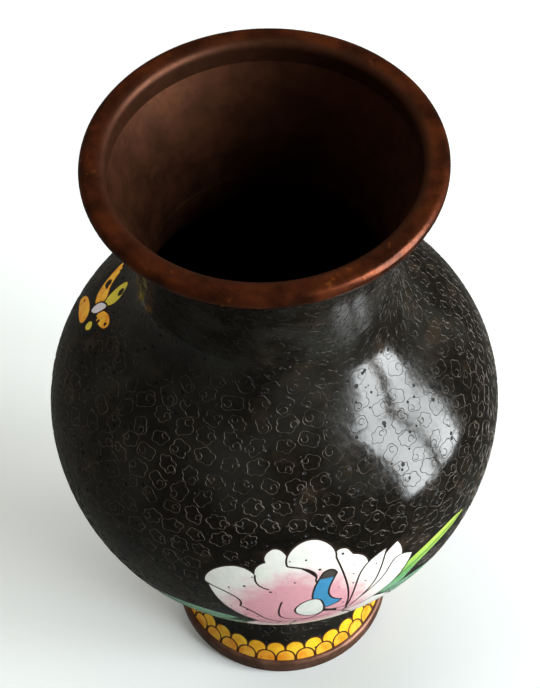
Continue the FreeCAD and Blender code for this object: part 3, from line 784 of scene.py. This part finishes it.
def ground_tree(name):
    """Search tree of a measured part's faces."""
    mesh = nodes[name].data
    return BVHTree.FromPolygons([vertex.co for vertex in mesh.vertices],
                                [face.vertices for face in mesh.polygons])


ground_trees = [ground_tree(name) for name in
                ("foot_ground_enamel", "body_ground_enamel", "neck_ground_enamel")]


def is_ground(distance, azimuth):
    """Whether black enamel lies at this place of the wall."""
    start = Vector(on_wall(distance, azimuth, PROBE_START))
    inward = Vector(on_wall(distance, azimuth, 0.0)) - start
    return any(tree.ray_cast(start, inward, PROBE_LENGTH)[0] is not None for tree in ground_trees)


def is_free(distance, azimuth, reach):
    """Whether a cloud of this reach would lie on black enamel only."""
    if not reach < distance < along[-1] - reach:
        return False
    for probe in range(FREE_PROBES):
        angle = 2 * math.pi * probe / FREE_PROBES
        aside = reach * math.cos(angle) / radius_at(distance)
        if not is_ground(distance + reach * math.sin(angle), azimuth + aside):
            return False
    return True


# %% Scatter the clouds
ROW_SPACING = 3.9 * MM
CLOUD_SPACING = 4.9 * MM
LOOP_REACH = LOOP_RADIUS * 1.2
TURN_SPREAD = math.radians(28)
CLOUD_SIZES = (0.84, 1.14)
TRIES = 6
FIRST_PLAY = 0.35
MORE_PLAY = 0.4
SHRINK = 0.1


def scatter(low, high, dice):
    """Sites of clouds between two distances along the outline: distance, azimuth, turn, size, kind.

    A cloud that would lie on the picture is tried again with more play and a smaller size."""
    sites = []
    rows = max(1, round((high - low) / ROW_SPACING))
    for row in range(rows):
        middle = low + (row + 0.5) * (high - low) / rows
        count = round(2 * math.pi * radius_at(middle) / CLOUD_SPACING)
        offset = dice.uniform(0, 1)
        for number in range(count):
            for attempt in range(TRIES):
                loose = FIRST_PLAY + MORE_PLAY * attempt
                distance = middle + dice.uniform(-1, 1) * loose * MM
                azimuth = 2 * math.pi * (number + offset) / count
                azimuth += dice.uniform(-1, 1) * loose * MM / radius_at(middle)
                size = dice.uniform(*CLOUD_SIZES) * (1 - SHRINK * attempt)
                spin = dice.gauss(0, TURN_SPREAD) + math.pi * dice.randrange(2)
                kind = dice.randrange(CLOUD_KINDS)
                if is_free(distance, azimuth, size * LOOP_REACH):
                    sites.append((distance, azimuth, spin, size, kind))
                    break
    return sites


# %% Finish of the clouds
# Most are worn dark, and on the neck they nearly go under in the black.
cloud_finish = Finish("cloud_wire")
worn = cloud_finish.noise(11 * MM, 3.0).step(0.36, 0.62)
flecks = cloud_finish.noise(0.7 * MM, 3.0, 0.7).step(0.4, 0.7)
fade = cloud_finish.z.step(neck_z - 14 * MM, neck_z)
cloud_colour = layered(paint(36, 30, 25), [
    (worn, paint(78, 68, 60)), (flecks * 0.5, paint(122, 112, 102)), (fade * 0.8, paint(24, 20, 17))])
cloud_wire = cloud_finish.surface(Base_Color=cloud_colour, Roughness=0.4 + flecks * 0.25, Metallic=0.35)

# %% Lay them on the wall
def lay_clouds(name, low, high, seed):
    """One piece with all the clouds between two distances along the outline. The seed fixes the dice."""
    sites = scatter(low, high, random.Random(seed))
    together = bmesh.new()
    flat = []
    for distance, azimuth, spin, size, kind in sites:
        mesh = cloud_kinds[kind]
        together.from_mesh(mesh)
        local = np.empty(len(mesh.vertices) * 3, np.float32)
        mesh.vertices.foreach_get("co", local)
        local = local.reshape(-1, 3)
        across = size * (local[:, 0] * math.cos(spin) - local[:, 1] * math.sin(spin))
        rise = size * (local[:, 0] * math.sin(spin) + local[:, 1] * math.cos(spin))
        flat.append(on_wall(distance + rise, azimuth + across / radius_at(distance + rise), local[:, 2]))
    data = bpy.data.meshes.new(name)
    together.to_mesh(data)
    together.free()
    data.vertices.foreach_set("co", np.concatenate(flat).astype(np.float32).ravel())
    data.update()
    data.materials.append(cloud_wire)
    piece = bpy.data.objects.new(name, data)
    bpy.context.scene.collection.objects.link(piece)
    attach(piece, "root")
    print(name, len(sites), "clouds,", 2 * len(data.polygons), "triangles at most")


BAND_NAMES = ("foot", "lower_body", "shoulder", "neck")
FIRST_SEED = 11
limits = [0.0, *np.interp([waist_z, belly_z, neck_z], wall[:, 1], along), along[-1]]
for band, band_name in enumerate(BAND_NAMES):
    lay_clouds("cloud_wires_" + band_name, limits[band], limits[band + 1], FIRST_SEED + band)
